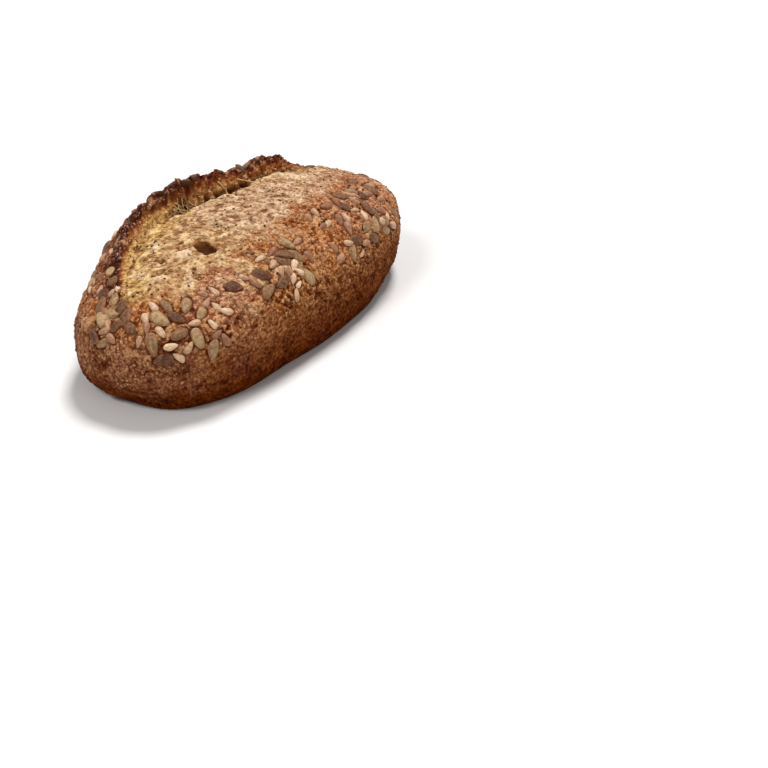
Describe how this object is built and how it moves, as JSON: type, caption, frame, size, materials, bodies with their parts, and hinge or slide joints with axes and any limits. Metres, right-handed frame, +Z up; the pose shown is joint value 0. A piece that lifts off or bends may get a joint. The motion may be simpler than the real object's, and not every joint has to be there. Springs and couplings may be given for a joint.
{
  "type": "seeded sourdough loaf",
  "caption": "Long sourdough loaf with a flat base, a slash that lifts a ragged flap over a pale torn bloom, and pumpkin and sunflower seeds baked into its brown crust.",
  "frame": {"origin": "on the floor, under the middle of the loaf's outline", "axes": "+X along the loaf from its blunt near end to its far end, +Y across it toward the side of the lifted flap, +Z up"},
  "size_m": [0.295, 0.142, 0.0981],
  "materials": {
    "crust": "dry baked crust, rough, slightly shiny where dark",
    "pumpkin_seed": "toasted kernel, satin",
    "sunflower_seed": "toasted kernel, matte",
    "small_seed": "small dark seed, satin"
  },
  "bodies": {
    "root": {"loaf": "crust"}
  },
  "joints": []
}
